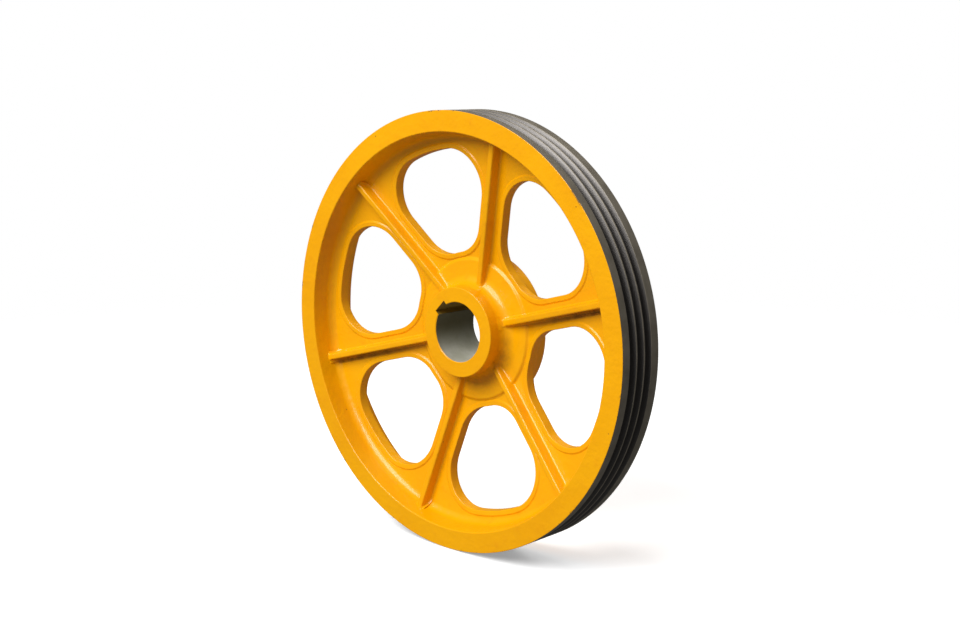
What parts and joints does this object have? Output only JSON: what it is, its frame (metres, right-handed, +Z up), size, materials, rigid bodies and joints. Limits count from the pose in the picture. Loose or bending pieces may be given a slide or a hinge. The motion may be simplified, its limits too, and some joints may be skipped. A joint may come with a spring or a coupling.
{
  "type": "v belt pulley",
  "caption": "Large V-groove belt pulley: dished web with ribbed arms and rounded windows, bored hub with a keyway.",
  "frame": {"origin": "on the bore's axis, midway across the tread", "axes": "+Y along the bore's axis from the ribbed front to the back, where the hub stands out; +Z up, +X to the right seen from the front"},
  "size_m": [0.5799, 0.0985, 0.58],
  "materials": {
    "yellow_enamel": "glossy",
    "machined_iron": "satin"
  },
  "bodies": {
    "root": {"rim_ring": "yellow_enamel", "tread_land_front": "machined_iron", "tread_land_back": "machined_iron", "groove_ridge_1": "machined_iron", "groove_ridge_2": "machined_iron", "hub": "yellow_enamel", "hub_pad": "yellow_enamel", "web_center": "yellow_enamel", "web_ring": "yellow_enamel", "back_boss": "yellow_enamel", "arm_root_1": "yellow_enamel", "arm_root_2": "yellow_enamel", "arm_root_3": "yellow_enamel", "arm_root_4": "yellow_enamel", "arm_root_5": "yellow_enamel", "arm_root_6": "yellow_enamel", "arm_shank_1": "yellow_enamel", "arm_shank_2": "yellow_enamel", "arm_shank_3": "yellow_enamel", "arm_shank_4": "yellow_enamel", "arm_shank_5": "yellow_enamel", "arm_shank_6": "yellow_enamel", "arm_head_1": "yellow_enamel", "arm_head_2": "yellow_enamel", "arm_head_3": "yellow_enamel", "arm_head_4": "yellow_enamel", "arm_head_5": "yellow_enamel", "arm_head_6": "yellow_enamel", "rib_1": "yellow_enamel", "rib_2": "yellow_enamel", "rib_3": "yellow_enamel", "rib_4": "yellow_enamel", "rib_5": "yellow_enamel", "rib_6": "yellow_enamel", "window_lip_1": "yellow_enamel", "window_lip_2": "yellow_enamel", "window_lip_3": "yellow_enamel", "window_lip_4": "yellow_enamel", "window_lip_5": "yellow_enamel", "window_lip_6": "yellow_enamel"}
  },
  "joints": []
}
